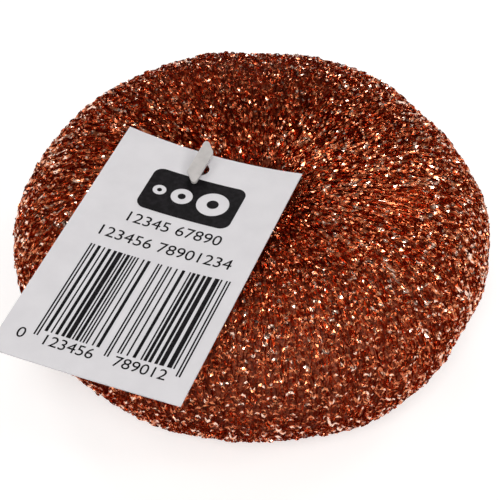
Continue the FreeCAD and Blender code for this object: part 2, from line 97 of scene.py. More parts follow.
bpy.ops.object.select_all(action="DESELECT")
bpy.ops.object.camera_add(location=EYE)
camera = bpy.context.object
camera.name = "photo_camera"
camera.data.lens = LENS
camera.data.sensor_width = SENSOR
camera.data.sensor_fit = "HORIZONTAL"
camera.data.clip_start = NEAREST
aim_at(camera, AIM)
bpy.context.scene.camera = camera
bpy.context.scene.view_settings.view_transform = "Standard"
print("camera at", tuple(round(x, 4) for x in camera.location))

# %% [markdown]
# The stage.
# Bright copper is hard to light: it shows what is around it, and in an even room it looks like clay. So
# the room has pale and dark patches, as a studio with its screens has, which grow brighter towards the
# ceiling. Eight small lamps become the glints. The floor adds some of its own light for the camera and
# for reflections, so it is white in the picture, yet still takes the scourer's shadow.

# %% Lay the floor
FLOOR_SIZE = 6.0
FLOOR_COLOUR = (0.60, 0.60, 0.60, 1)
FLOOR_GLOW = 0.58


def shader_tree(material):
    """A material's node tree, cleared, with its output."""
    material.use_nodes = True
    tree = material.node_tree
    tree.nodes.clear()
    return tree, tree.nodes.new("ShaderNodeOutputMaterial")


def sum_of(tree, first, second):
    """A node that adds two values."""
    add = tree.nodes.new("ShaderNodeMath")
    add.operation = "ADD"
    add.use_clamp = True
    tree.links.new(first, add.inputs[0])
    tree.links.new(second, add.inputs[1])
    return add.outputs["Value"]


def floor_material():
    """A matt white floor that looks a little brighter to the camera and in reflections."""
    material = bpy.data.materials.new("white_floor")
    tree, output = shader_tree(material)
    matt = tree.nodes.new("ShaderNodeBsdfDiffuse")
    matt.inputs["Color"].default_value = FLOOR_COLOUR
    path = tree.nodes.new("ShaderNodeLightPath")
    seen = sum_of(tree, path.outputs["Is Camera Ray"], path.outputs["Is Glossy Ray"])
    seen = sum_of(tree, seen, path.outputs["Is Transmission Ray"])
    level = tree.nodes.new("ShaderNodeMath")
    level.operation = "MULTIPLY"
    level.inputs[1].default_value = FLOOR_GLOW
    tree.links.new(seen, level.inputs[0])
    glow = tree.nodes.new("ShaderNodeEmission")
    tree.links.new(level.outputs["Value"], glow.inputs["Strength"])
    both = tree.nodes.new("ShaderNodeAddShader")
    tree.links.new(matt.outputs["BSDF"], both.inputs[0])
    tree.links.new(glow.outputs["Emission"], both.inputs[1])
    tree.links.new(both.outputs["Shader"], output.inputs["Surface"])
    return material


bpy.ops.object.select_all(action="DESELECT")
bpy.ops.mesh.primitive_plane_add(size=FLOOR_SIZE)
floor = bpy.context.object
floor.name = "floor"
floor.data.materials.append(floor_material())
print("the floor is", FLOOR_SIZE, "m wide")

# %% Light the room
ROOM_DARK = (0.15, 0.14, 0.135, 1)
ROOM_PALE = (1.0, 0.97, 0.94, 1)
ROOM_SIDES = 0.13
ROOM_CEILING = 0.98
ROOM_PATCHES = 2.6
PATCH_DETAIL = 1.0
PATCH_STOPS = ((0.47, ROOM_DARK), (0.60, ROOM_PALE))


def noise(tree, coordinates, scale, detail=2.0):
    """A noise texture's value, on given coordinates."""
    texture = tree.nodes.new("ShaderNodeTexNoise")
    texture.inputs["Scale"].default_value = scale
    texture.inputs["Detail"].default_value = detail
    tree.links.new(coordinates, texture.inputs["Vector"])
    return texture.outputs["Fac"]


def ramp(tree, value, stops):
    """A colour ramp from a value, with stops of place and colour."""
    colours = tree.nodes.new("ShaderNodeValToRGB")
    elements = colours.color_ramp.elements
    while len(elements) < len(stops):
        elements.new(1.0)
    for element, (place, colour) in zip(elements, stops):
        element.position = place
        element.color = colour
    tree.links.new(value, colours.inputs["Fac"])
    return colours.outputs["Color"]


def spread(tree, value, low, high):
    """A value from 0 to 1 spread over another range."""
    scaled = tree.nodes.new("ShaderNodeMapRange")
    scaled.inputs["To Min"].default_value = low
    scaled.inputs["To Max"].default_value = high
    tree.links.new(value, scaled.inputs["Value"])
    return scaled.outputs["Result"]


def light_room(world):
    """Pale and dark patches all round, brighter overhead than at the sides."""
    world.use_nodes = True
    tree = world.node_tree
    tree.nodes.clear()
    around = tree.nodes.new("ShaderNodeTexCoord").outputs["Generated"]
    patches = ramp(tree, noise(tree, around, ROOM_PATCHES, PATCH_DETAIL), PATCH_STOPS)
    room = tree.nodes.new("ShaderNodeBackground")
    tree.links.new(patches, room.inputs["Color"])
    direction = tree.nodes.new("ShaderNodeSeparateXYZ")
    tree.links.new(around, direction.inputs["Vector"])
    level = spread(tree, direction.outputs["Z"], ROOM_SIDES, ROOM_CEILING)
    tree.links.new(level, room.inputs["Strength"])
    output = tree.nodes.new("ShaderNodeOutputWorld")
    tree.links.new(room.outputs["Background"], output.inputs["Surface"])


studio = bpy.data.worlds.new("studio")
bpy.context.scene.world = studio
light_room(studio)
print("the room's light goes from", ROOM_SIDES, "to", ROOM_CEILING)

# %% Hang the lamps
LAMP_COLOUR = (1.0, 0.98, 0.96)
LAMP_SIZE = 0.20
LAMP_DISTANCE = 0.80
LAMP_AIM = Vector((0, 0, 30 * MM))
# Each lamp's angle round the scourer and above the floor, in degrees, and its watts.
LAMPS = (
    (168, 50, 0.30), (222, 24, 0.60), (262, 54, 1.65), (305, 24, 1.45),
    (345, 40, 0.66), (30, 44, 0.66), (88, 18, 1.40), (120, 46, 0.60),
)


def hang_lamp(name, azimuth, elevation, watts):
    """A small round lamp in a direction from the scourer."""
    turn = math.radians(azimuth)
    climb = math.radians(elevation)
    across = LAMP_DISTANCE * math.cos(climb)
    place = (across * math.cos(turn), across * math.sin(turn), LAMP_DISTANCE * math.sin(climb))
    bpy.ops.object.light_add(type="AREA", location=place)
    lamp = bpy.context.object
    lamp.name = name
    lamp.data.shape = "DISK"
    lamp.data.size = LAMP_SIZE
    lamp.data.energy = watts
    lamp.data.color = LAMP_COLOUR
    lamp.visible_camera = False
    aim_at(lamp, LAMP_AIM)


for number, (azimuth, elevation, watts) in enumerate(LAMPS, start=1):
    hang_lamp(f"lamp_{number}", azimuth, elevation, watts)
print("lamps:", len(LAMPS))

# %% [markdown]
# The ring's section.
# Every stitch needs to know where the surface is. The section is a chain of lines and arcs from the
# middle of the dimple, over its lip and the broad shoulder, down the outside, across the foot, up the
# hole below and in again under the gathered floor to the tuft. Measured along that chain, each place has
# one distance, and the distance gives its radius, height and outward direction. A short running mean
# softens the corners, as knitting does.

# %% Draw the section
sleeve_low, sleeve_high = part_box("knitted_sleeve")
RING_R = (sleeve_high.x - sleeve_low.x) / 2
CROWN = sleeve_high.z
FLAT_DEPTH = 0.5 * MM
SHOULDER_R = 55.0 * MM
LIP_R = 9.0 * MM
DIMPLE_R = 8.2 * MM
WALL_DROP = 2.1 * MM
FLOOR_DISH = 1.0 * MM
FLOOR_THICK = 4.0 * MM
NECK_R = 2.4 * MM
NECK_LENGTH = 2.2 * MM
TUFT_LENGTH = 9.8 * MM
TUFT_R = 4.4 * MM
ROLL_R = (CROWN + FLAT_DEPTH) / 2
ROLL_MID = (RING_R - ROLL_R, ROLL_R - FLAT_DEPTH)
SHOULDER_MID = (ROLL_MID[0], CROWN - SHOULDER_R)
LIP_MID_R = DIMPLE_R + LIP_R
LIP_MID_Z = SHOULDER_MID[1] + math.sqrt((SHOULDER_R - LIP_R) ** 2 - (ROLL_MID[0] - LIP_MID_R) ** 2)
FLOOR_RIM_Z = LIP_MID_Z - WALL_DROP
UNDERSIDE_Z = FLOOR_RIM_Z - FLOOR_THICK
NECK_END_Z = UNDERSIDE_Z - NECK_LENGTH
TUFT_FOOT_Z = NECK_END_Z - TUFT_LENGTH
SECTION_STEP = 0.1 * MM


def line(first, last):
    """Evenly spaced points along a straight stretch of the section."""
    count = max(2, round(math.dist(first, last) / SECTION_STEP))
    return np.linspace(first, last, count, endpoint=False)


def arc(middle, radius, first, last):
    """Evenly spaced points along an arc of the section, between two angles."""
    count = max(2, round(abs(last - first) * radius / SECTION_STEP))
    angles = np.linspace(first, last, count, endpoint=False)
    return np.column_stack([middle[0] + radius * np.cos(angles), middle[1] + radius * np.sin(angles)])


def section_points():
    """The section's points, from the dimple's middle to the tuft's foot."""
    up = math.pi / 2
    lean = math.atan2(ROLL_MID[0] - LIP_MID_R, LIP_MID_Z - SHOULDER_MID[1])
    flat = math.asin(ROLL_MID[1] / ROLL_R)
    fall = math.asin((UNDERSIDE_Z - ROLL_MID[1]) / ROLL_R)
    half = ROLL_R * math.cos(flat)
    corner = (ROLL_MID[0] - ROLL_R * math.cos(fall), UNDERSIDE_Z)
    return np.vstack([
        line((0, FLOOR_RIM_Z - FLOOR_DISH), (DIMPLE_R, FLOOR_RIM_Z)),
        line((DIMPLE_R, FLOOR_RIM_Z), (DIMPLE_R, LIP_MID_Z)),
        arc((LIP_MID_R, LIP_MID_Z), LIP_R, math.pi, up + lean),
        arc(SHOULDER_MID, SHOULDER_R, up + lean, up),
        arc(ROLL_MID, ROLL_R, up, -flat),
        line((ROLL_MID[0] + half, 0), (ROLL_MID[0] - half, 0)),
        arc(ROLL_MID, ROLL_R, math.pi + flat, math.pi - fall),
        line(corner, (NECK_R, UNDERSIDE_Z)),
        line((NECK_R, UNDERSIDE_Z), (NECK_R, NECK_END_Z)),
        line((NECK_R, NECK_END_Z), (TUFT_R, TUFT_FOOT_Z)),
    ])


print("the roll is", round(2 * ROLL_R / MM, 1), "mm thick")

# %% Soften the section and measure along it
SOFTEN = 2.4 * MM


def soften(points, width):
    """Round a chain's corners with a running mean, and keep its ends where they are."""
    count = round(width / SECTION_STEP)
    kernel = np.ones(count) / count
    padded = np.pad(points, ((count // 2, count - 1 - count // 2), (0, 0)), mode="edge")
    return np.column_stack([np.convolve(padded[:, axis], kernel, mode="valid") for axis in (0, 1)])


SECTION = soften(section_points(), SOFTEN)
steps_along = np.hypot(*np.diff(SECTION, axis=0).T)
DISTANCE = np.concatenate([[0], np.cumsum(steps_along)])
slope = np.gradient(SECTION, axis=0)
slope /= np.linalg.norm(slope, axis=1)[:, None]
OUTWARD = np.column_stack([-slope[:, 1], slope[:, 0]])


def on_section(distance):
    """Radius, height and outward direction at a distance along the section."""
    columns = (SECTION[:, 0], SECTION[:, 1], OUTWARD[:, 0], OUTWARD[:, 1])
    return [np.interp(distance, DISTANCE, column) for column in columns]


def distance_of(part):
    """Where along the section a radius and height are nearest."""
    return DISTANCE[np.argmin(np.hypot(SECTION[:, 0] - part[0], SECTION[:, 1] - part[1]))]


print("the section is", round(DISTANCE[-1] / MM, 1), "mm long")

# %% [markdown]
# The knitting.
# Each course is one ribbon that runs round the ring in loops, and each loop hangs in the loop below it.
# A picture of knitting in a material would be flat, and the glints come from many small faces that lie
# at odd angles, so the loops are modelled. One stitch's length of ribbon starts as a three-sided
# cylinder, which is cut into short steps. Array modifiers repeat it along the course and from course to
# course. The straight swatch is then laid on the section by a formula: sideways swings make the loops,
# a swing in and out makes them cross, and seeded wandering makes them as uneven as squeezed metal is.
# The ribbon stands on edge along the loops' legs, where it shows as a thin line, and lies flat at their
# heads, where it glints.

# %% Repeat a straight stitch
CORNERS = 3
SWATCH_STITCH = 1.0
SWATCH_COURSE = 4.0


def select_edges(piece, wanted):
    """Select a piece's edges by the places of their two ends."""
    bpy.context.tool_settings.mesh_select_mode = (False, True, False)
    mesh = piece.data
    for vertex in mesh.vertices:
        vertex.select = False
    for face in mesh.polygons:
        face.select = False
    for edge in mesh.edges:
        first, last = (mesh.vertices[index].co for index in edge.vertices)
        edge.select = wanted(first, last)


def straight_stitch(name, steps):
    """One stitch's length of three-sided ribbon along X, cut into steps, open at its ends."""
    bpy.ops.object.select_all(action="DESELECT")
    bpy.ops.mesh.primitive_cylinder_add(
        vertices=CORNERS, radius=1, depth=SWATCH_STITCH, end_fill_type="NOTHING",
        location=(SWATCH_STITCH / 2, 0, 0), rotation=(0, math.pi / 2, 0))
    stitch = bpy.context.object
    stitch.name = name
    bpy.ops.object.transform_apply(location=True, rotation=True, scale=True)
    select_edges(stitch, lambda first, last: abs(first.x - last.x) > SWATCH_STITCH / 2)
    bpy.ops.object.mode_set(mode="EDIT")
    bpy.ops.mesh.subdivide(number_cuts=steps - 1)
    bpy.ops.object.mode_set(mode="OBJECT")
    return stitch


def repeat(piece, count, offset):
    """Copy a piece along an offset with an Array modifier."""
    array = piece.modifiers.new("Repeat", "ARRAY")
    array.count = count
    array.use_relative_offset = False
    array.use_constant_offset = True
    array.constant_offset_displace = offset
    bpy.ops.object.modifier_apply(modifier=array.name)


print("the ribbon has", CORNERS, "sides")

# %% Make the roll and the stitches uneven
GATHER_R = 10.0 * MM
FOLD_COUNT = 12
FOLD_DEPTH = 0.35
FOLD_ENDS = (2.6 * MM, 9.0 * MM)
FOLD_FADE = 3
# Each swell's count round the ring, rate along the section, start and size in millimetres.
LUMPS = (
    (3, 55.0, 0.3, 0.42), (5, -90.0, 1.7, 0.32), (8, 140.0, 4.1, 0.25), (13, -210.0, 2.6, 0.18),
)


def ease(value):
    """A smooth step from 0 to 1."""
    value = np.clip(value, 0, 1)
    return value * value * (3 - 2 * value)


def wander(random, courses, wales, steps, knots):
    """Smooth random numbers from -1 to 1 along each course, closed round the ring."""
    values = random.uniform(-1, 1, (courses, wales * knots))
    place = np.arange(wales * steps) * knots / steps
    left = place.astype(int)
    share = ease(place - left)
    right = (left + 1) % (wales * knots)
    return values[:, left] * (1 - share) + values[:, right] * share


def lumps(angle, distance):
    """Slow swells of the roll, in millimetres, by the angle round the ring and along the section."""
    return sum(
        size * np.sin(count * angle + rate * distance + start) for count, rate, start, size in LUMPS)


def roll_share(radius):
    """0 in the gathered middle of the ring and 1 on the full roll."""
    return ease((radius - GATHER_R) / GATHER_R)


def folds(angle, radius):
    """Folds of the gathered floor, in millimetres, by the angle round the ring and the radius."""
    middle = (FOLD_ENDS[0] + FOLD_ENDS[1]) / 2
    span = FOLD_ENDS[1] - FOLD_ENDS[0]
    fade = ease(FOLD_FADE / 2 - FOLD_FADE * np.abs(radius - middle) / span)
    return FOLD_DEPTH * fade * np.cos(FOLD_COUNT * angle)


print("the swells reach", round(sum(size for *_, size in LUMPS), 2), "mm")

# %% Lead the ribbon in loops
LOOP_RISE = 0.80
LOOP_PINCH = 0.05
LOOP_DEPTH = 0.24 * MM
DRIFT = 0.28
RISE_SPREAD = 0.42
SLIP = 0.40
PUFF = 0.28 * MM
PUFF_KNOTS = 3
CALM = 0.4
PRESSED = 0.38 * MM
STAND = math.radians(80)
TWIST = math.radians(42)
TWIST_KNOTS = 2
CRUMPLE = math.radians(3)
HEAD_SHARP = 8


def unit(vectors):
    """Vectors scaled to length 1."""
    return vectors / np.linalg.norm(vectors, axis=-1, keepdims=True)


def loop_path(random, starts, course, wales, steps, depth):
    """The ribbon's middle line and the surface's outward direction, for each course and step."""
    shape = (len(starts), wales, steps)
    stitch = np.arange(wales * steps) / steps
    turn = TURN * stitch
    drift = DRIFT * wander(random, *shape, 1)
    rise = LOOP_RISE * (1 + RISE_SPREAD * wander(random, *shape, 1))
    slip = SLIP * wander(random, *shape, 1)
    puff = PUFF * wander(random, *shape, PUFF_KNOTS)
    angle = TURN / wales * (stitch + LOOP_PINCH * np.sin(2 * turn) + drift)
    distance = starts[:, None] + course * (rise * np.cos(turn) + slip)
    radius, height, out_r, out_z = on_section(distance)
    on_roll = roll_share(radius)
    swell = lumps(angle, distance) * on_roll + folds(angle, radius)
    out = -depth + LOOP_DEPTH * np.cos(2 * turn) + puff * (CALM + (1 - CALM) * on_roll) + swell * MM
    radius = radius + out * out_r
    height = np.clip(height + out * out_z, PRESSED, CROWN - PRESSED)
    middle = np.stack([radius * np.cos(angle), radius * np.sin(angle), height], axis=-1)
    outward = np.stack([out_r * np.cos(angle), out_r * np.sin(angle), out_z], axis=-1)
    return middle, outward


def ribbon_frame(random, middle, outward, shape):
    """Directions across the ribbon and out of its face, flat at the heads and on edge along the legs."""
    _, wales, steps = shape
    head = np.cos(TURN * np.arange(wales * steps) / steps) ** HEAD_SHARP
    along = unit(np.roll(middle, -1, axis=1) - np.roll(middle, 1, axis=1))
    across = unit(np.cross(along, outward))
    face = np.cross(across, along)
    turned = STAND * (1 - head) + TWIST * wander(random, *shape, TWIST_KNOTS)
    turned = turned + CRUMPLE * random.uniform(-1, 1, turned.shape)
    cosine = np.cos(turned)[..., None]
    sine = np.sin(turned)[..., None]
    return across * cosine - face * sine, face * cosine + across * sine


print("a loop is", round(2 * LOOP_RISE, 2), "courses high")

# %% Knit a band of courses
RIBBON_WIDTH = 0.66 * MM
INNER_WIDTH = 0.32 * MM
RIBBON_THICK = 0.04 * MM
CORNER_SIDES = np.array([0.5, 0.0, -0.5])
CORNER_BACKS = np.array([0.0, -1.0, 0.0])
MAP_MARGIN = 0.03
WELD = 1e-7


def corners_of(piece):
    """The places of a piece's vertices, one row each."""
    places = np.empty(len(piece.data.vertices) * 3)
    piece.data.vertices.foreach_get("co", places)
    return places.reshape(-1, 3)


def move_corners(piece, places):
    """Put a piece's vertices at new places."""
    piece.data.vertices.foreach_set("co", places.ravel())
    piece.data.update()


def lay_out(band, stitches):
    """Give each stitch its own square of the piece's map, so that its colours can be stored."""
    layer = band.data.uv_layers[0]
    layer.name = "OFBake"
    places = np.empty(2 * len(layer.data))
    layer.data.foreach_get("uv", places)
    places = places.reshape(-1, 2)
    places = (places - places.min(axis=0)) / (places.max(axis=0) - places.min(axis=0))
    stitch = np.arange(len(places)) // (len(places) // stitches)
    squares = math.ceil(math.sqrt(stitches))
    corner = np.column_stack([stitch % squares, stitch // squares])
    places = (corner + MAP_MARGIN + (1 - 2 * MAP_MARGIN) * places) / squares
    layer.data.foreach_set("uv", places.ravel())


def knit(name, seed, starts, course_gap, wales, steps, depth, width=RIBBON_WIDTH):
    """A band of courses, laid on the ring at a depth below its surface."""
    random = np.random.default_rng(seed)
    shape = (len(starts), wales, steps)
    band = straight_stitch(name, steps)
    repeat(band, wales, (SWATCH_STITCH, 0, 0))
    repeat(band, len(starts), (0, SWATCH_COURSE, 0))
    lay_out(band, wales * len(starts))
    swatch = corners_of(band)
    course = np.rint(swatch[:, 1] / SWATCH_COURSE).astype(int)
    step = np.rint(swatch[:, 0] / SWATCH_STITCH * steps).astype(int) % (wales * steps)
    around = np.arctan2(swatch[:, 2], swatch[:, 1] - course * SWATCH_COURSE)
    corner = np.rint(around / (TURN / CORNERS)).astype(int) % CORNERS
    middle, outward = loop_path(random, starts, course_gap, wales, steps, depth)
    across, face = ribbon_frame(random, middle, outward, shape)
    side = CORNER_SIDES[corner][:, None] * width
    back = CORNER_BACKS[corner][:, None] * RIBBON_THICK
    move_corners(band, middle[course, step] + side * across[course, step] + back * face[course, step])
    bpy.ops.object.mode_set(mode="EDIT")
    bpy.ops.mesh.select_all(action="SELECT")
    bpy.ops.mesh.remove_doubles(threshold=WELD)
    bpy.ops.object.mode_set(mode="OBJECT")
    print(name, "courses", len(starts), "faces", len(band.data.polygons))
    return band


print("the ribbon is", round(RIBBON_WIDTH / MM, 2), "mm wide")

# %% [markdown]
# Bright copper.
# Copper reflects red light well and blue light poorly, and between the loops the light is reflected again
# and again, so the deep places turn a dark red brown by themselves. The inner layers' copper is painted
# redder and darker than the outer as well, a painted shade of the deep turns. The ribbon's colour drifts
# from place to place with its tarnish, and its polish with it. Both could be painted, but noise in the
# object's own space needs no painting and follows every ribbon. Towards the ring's middle the copper is
# darker and duller, a painted shade of the dimple.

# %% Paint shade on the copper towards the middle
# Painted shade of the dimple: how far out, and by how much, the copper is darkened towards the axis.
MIDDLE_R = 44.0 * MM
MIDDLE_SHADE = 0.10


def paint_middle_shade(tree, place, wear_and_shade):
    """Lower a wear value towards the ring's axis, as painted shade of the dimple: darker, duller copper.
    """
    scaled = tree.nodes.new("ShaderNodeMapping")
    scaled.inputs["Scale"].default_value = (1 / MIDDLE_R, 1 / MIDDLE_R, 0)
    tree.links.new(place, scaled.inputs["Vector"])
    fade = tree.nodes.new("ShaderNodeTexGradient")
    fade.gradient_type = "SPHERICAL"
    tree.links.new(scaled.outputs["Vector"], fade.inputs["Vector"])
    lower = tree.nodes.new("ShaderNodeMath")
    lower.operation = "MULTIPLY_ADD"
    lower.inputs[1].default_value = -MIDDLE_SHADE
    tree.links.new(fade.outputs["Fac"], lower.inputs[0])
    tree.links.new(wear_and_shade, lower.inputs[2])
    return lower.outputs["Value"]


print("the copper is duller within", round(MIDDLE_R / MM), "mm of the axis")

# %% Make the copper
# Each ribbon's tarnished, plain and polished tint, and how rough it is where plain and where polished.
RIBBON_TINTS = ((0.55, 0.138, 0.058, 1), (0.74, 0.260, 0.115, 1), (0.95, 0.66, 0.53, 1))
RIBBON_ROUGH = (0.20, 0.05)
# The inner layers' tints are redder and darker than the outer's: painted shade of the deep turns.
DEEP_SHADED_TINTS = ((0.58, 0.122, 0.045, 1), (0.78, 0.205, 0.070, 1), (0.84, 0.32, 0.15, 1))
INNER_ROUGH = (0.36, 0.22)
WEAR_SCALE = 650.0
TARNISH_TO = 0.40
POLISH_FROM = 0.51
POLISH_TO = 0.56
LACQUER = 0.05
LACQUER_ROUGH = 0.12


def principled(name):
    """A new material with a Principled shader and the piece's own coordinates."""
    material = bpy.data.materials.new(name)
    tree, output = shader_tree(material)
    shader = tree.nodes.new("ShaderNodeBsdfPrincipled")
    tree.links.new(shader.outputs["BSDF"], output.inputs["Surface"])
    place = tree.nodes.new("ShaderNodeTexCoord").outputs["Object"]
    return material, tree, shader, place


def tint(tree, shader, value, stops):
    """Colour a shader by a value, through a ramp."""
    tree.links.new(ramp(tree, value, stops), shader.inputs["Base Color"])


def grey(level):
    """A grey as a ramp's colour."""
    return (level, level, level, 1)


def copper_material(name, tints, rough):
    """Copper ribbon, tarnished a dark red in places, with small polished spots and painted shade in the
    middle.
    """
    material, tree, shader, place = principled(name)
    # The wear is lowered towards the middle: painted shade of the dimple.
    wear_and_shade = paint_middle_shade(tree, place, noise(tree, place, WEAR_SCALE))
    tint(tree, shader, wear_and_shade, tuple(zip((TARNISH_TO, POLISH_FROM, POLISH_TO), tints)))
    gloss = ((POLISH_FROM, grey(rough[0])), (POLISH_TO, grey(rough[1])))
    tree.links.new(ramp(tree, wear_and_shade, gloss), shader.inputs["Roughness"])
    shader.inputs["Metallic"].default_value = 1.0
    shader.inputs["Coat Weight"].default_value = LACQUER
    shader.inputs["Coat Roughness"].default_value = LACQUER_ROUGH
    return material


copper = copper_material("copper_ribbon", RIBBON_TINTS, RIBBON_ROUGH)
# The inner layers get a redder, darker copy of the copper, as painted shade of the deep turns.
deep_shaded_copper = copper_material("deep_shaded_copper_ribbon", DEEP_SHADED_TINTS, INNER_ROUGH)
print("copper finishes:", copper.name, deep_shaded_copper.name)

# %% [markdown]
# The layers.
# The sleeve is rolled up, so one looks through its outer layer at the next, and through that at another.
# Four layers are enough for the eye. Each has its own number of loops, so the layers never line up. The
# courses of a layer could be one piece, but they are split into bands to keep each piece light.

# %% Knit the layers of the roll
COURSE = 2.5 * MM
LIP_INSIDE = (12.0 * MM, 37.5 * MM)
HOLE_INSIDE = (16.0 * MM, 8.0 * MM)
# Each layer's name, bands, loops round, steps in a loop, depth, shift in courses, finish and ribbon width.
LAYERS = (
    ("knit_outer", 3, 104, 14, 0.40 * MM, 0.0, copper, RIBBON_WIDTH),
    ("knit_second", 3, 113, 13, 0.65 * MM, 0.55, deep_shaded_copper, INNER_WIDTH),
    ("knit_third", 3, 109, 12, 0.95 * MM, 0.25, deep_shaded_copper, INNER_WIDTH),
    ("knit_inner", 2, 97, 9, 1.30 * MM, 0.8, deep_shaded_copper, RIBBON_WIDTH),
)
LAYER_SEEDS = 10


def put_on(piece, body, material):
    """Finish a piece: its material and its body."""
    piece.data.materials.append(material)
    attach(piece, body)


lip_inside = distance_of(LIP_INSIDE)
hole_inside = distance_of(HOLE_INSIDE)
courses = np.arange(lip_inside, hole_inside, COURSE)
print("courses over the roll:", len(courses))
for layer, (name, bands, wales, steps, depth, shift, material, width) in enumerate(LAYERS):
    for number, starts in enumerate(np.array_split(courses + shift * COURSE, bands), start=1):
        seed = LAYER_SEEDS * layer + number
        band = knit(f"{name}_{number}", seed, starts, COURSE, wales, steps, depth, width)
        put_on(band, "scourer", material)
        if (name, number) == ("knit_outer", 1):
            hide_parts("knitted_sleeve")

# %% [markdown]
# The gathered middle.
# Where the sleeve's end is drawn together, its stitches crowd. They could be the roll's own courses,
# carried on, but there are too many of them for so small a ring. So the floor of the dimple, the ceiling
# of the hollow below and the tuft get fewer and closer stitches, and the floor lies in folds round the
# neck.

# %% Knit the dimple, the hollow and the tuft
neck_top = distance_of((NECK_R, UNDERSIDE_Z))
# Each band's name, seed, first and last distance, course, loops round, steps in a loop and depth.
GATHERED = (
    ("knit_dimple", 41, 2.6 * MM, lip_inside, 1.5 * MM, 66, 8, 0.40 * MM),
    ("knit_hollow", 42, hole_inside, neck_top, 1.8 * MM, 66, 8, 0.40 * MM),
    ("knit_tuft", 43, neck_top, DISTANCE[-1], 1.1 * MM, 22, 8, 0.25 * MM),
)
for name, seed, first, last, gap, wales, steps, depth in GATHERED:
    band = knit(name, seed, np.arange(first, last, gap), gap, wales, steps, depth)
    put_on(band, "scourer", copper)

# %% [markdown]
# The inside of the roll.
# Under its outer layers the roll goes on, turn upon turn, and little light comes back from there. Knitting
# it all would cost millions of faces that nobody sees. A dark red core stands for it: a plain grid, laid
# on the section as the stitches are, a little deeper, with the same slow swells.

# %% Lay the core under the stitches
CORE_DEPTH = 1.9 * MM
CORE_SKIN = 1.2 * MM
CORE_POINTS = 160
CORE_STEPS = 120
CORE_WELD = 1e-5
CORE_STOPS = ((0.42, (0.190, 0.034, 0.013, 1)), (0.60, (0.560, 0.145, 0.060, 1)))
CORE_SPECKS = 1500.0
CORE_DETAIL = 4.0
CORE_ROUGH = 0.65
CORE_METAL = 0.4


def core_places(grid):
    """Where each corner of a flat grid goes: across it the angle round the ring, up it the section."""
    angle = TURN * (grid[:, 0] + 0.5)
    distance = (grid[:, 1] + 0.5) * (DISTANCE[-1] - CORE_SKIN)
    radius, height, out_r, out_z = on_section(distance)
    share = roll_share(radius)
    out = share * lumps(angle, distance) * MM - CORE_SKIN - (CORE_DEPTH - CORE_SKIN) * share
    radius = np.maximum(radius + out * out_r, 0)
    return np.column_stack([radius * np.cos(angle), radius * np.sin(angle), height + out * out_z])


def core_material():
    """Copper deep in the roll, a dark red with paler specks."""
    material, tree, shader, place = principled("copper_shade")
    tint(tree, shader, noise(tree, place, CORE_SPECKS, CORE_DETAIL), CORE_STOPS)
    shader.inputs["Roughness"].default_value = CORE_ROUGH
    shader.inputs["Metallic"].default_value = CORE_METAL
    return material


bpy.ops.object.select_all(action="DESELECT")
bpy.ops.mesh.primitive_grid_add(x_subdivisions=CORE_STEPS, y_subdivisions=CORE_POINTS, size=1)
core = bpy.context.object
core.name = "roll_core"
move_corners(core, core_places(corners_of(core)))
bpy.ops.object.mode_set(mode="EDIT")
bpy.ops.mesh.select_all(action="SELECT")
bpy.ops.mesh.remove_doubles(threshold=CORE_WELD)
bpy.ops.mesh.fill_holes(sides=0)
bpy.ops.mesh.normals_make_consistent(inside=False)
bpy.ops.object.mode_set(mode="OBJECT")
bpy.ops.object.shade_smooth()
put_on(core, "scourer", core_material())
print("core faces:", len(core.data.polygons))

# %% [markdown]
# The card.
# The swing tag is a punched card, cut clean and slightly bowed. It could be modelled again here, but its
# solid has the true shape already. So it only needs the look of card: a very slightly uneven white, a
# soft gloss and the faint tooth of paper.

# %% Finish the card
CARD_STOPS = ((0.35, (0.695, 0.69, 0.725, 1)), (0.65, (0.735, 0.73, 0.765, 1)))
CARD_CLOUDS = 160.0
CARD_DETAIL = 3.0
CARD_TOOTH = 5200.0
TOOTH_STRENGTH = 0.25
TOOTH_DEPTH = 0.02 * MM
CARD_ROUGH = 0.48


def bump(tree, height, strength, distance):
    """A bump node's normal, from a height."""
    node = tree.nodes.new("ShaderNodeBump")
    node.inputs["Strength"].default_value = strength
    node.inputs["Distance"].default_value = distance
    tree.links.new(height, node.inputs["Height"])
    return node.outputs["Normal"]


def card_material():
    """White printed card with a little tooth."""
    material, tree, shader, place = principled("white_card")
    tint(tree, shader, noise(tree, place, CARD_CLOUDS, CARD_DETAIL), CARD_STOPS)
    tooth = bump(tree, noise(tree, place, CARD_TOOTH), TOOTH_STRENGTH, TOOTH_DEPTH)
    tree.links.new(tooth, shader.inputs["Normal"])
    shader.inputs["Roughness"].default_value = CARD_ROUGH
    return material


def dress(node, material):
    """Give a node of the frame a new finish."""
    slots = frame["nodes"][node].data.materials
    slots.clear()
    slots.append(material)
    print(node, "is finished in", material.name)


dress("swing_tag", card_material())

# %% [markdown]
# The print.
# A layer of black ink lies on the card: a plain header with three rings of rising size, two rows of
# numbers, and a stripe code with its digits. Ink could be a pattern in the card's material, but sharp
# edges at any distance are easier as thin shapes. Everything is drawn flat, above the card, measured from
# the middle of its holed end. A Shrinkwrap modifier then drops it straight down on to the bowed card, and
# Solidify gives it the thickness of ink.

# %% Set up the card's own directions
CARD_END = Vector((-8.283 * MM, 3.212 * MM, 0))
TAG_TURN = math.radians(-20.7)
DRAWN_AT = 60 * MM
TO_CARD = Matrix.Translation(CARD_END + Vector((0, 0, DRAWN_AT))) @ Matrix.Rotation(TAG_TURN, 4, "Z")
ink = []


def keep_ink(piece):
    """Put a flat drawing, made at the origin, in its place above the card."""
    piece.matrix_world = TO_CARD @ piece.matrix_world
    bpy.ops.object.transform_apply(location=True, rotation=True, scale=True)
    ink.append(piece)


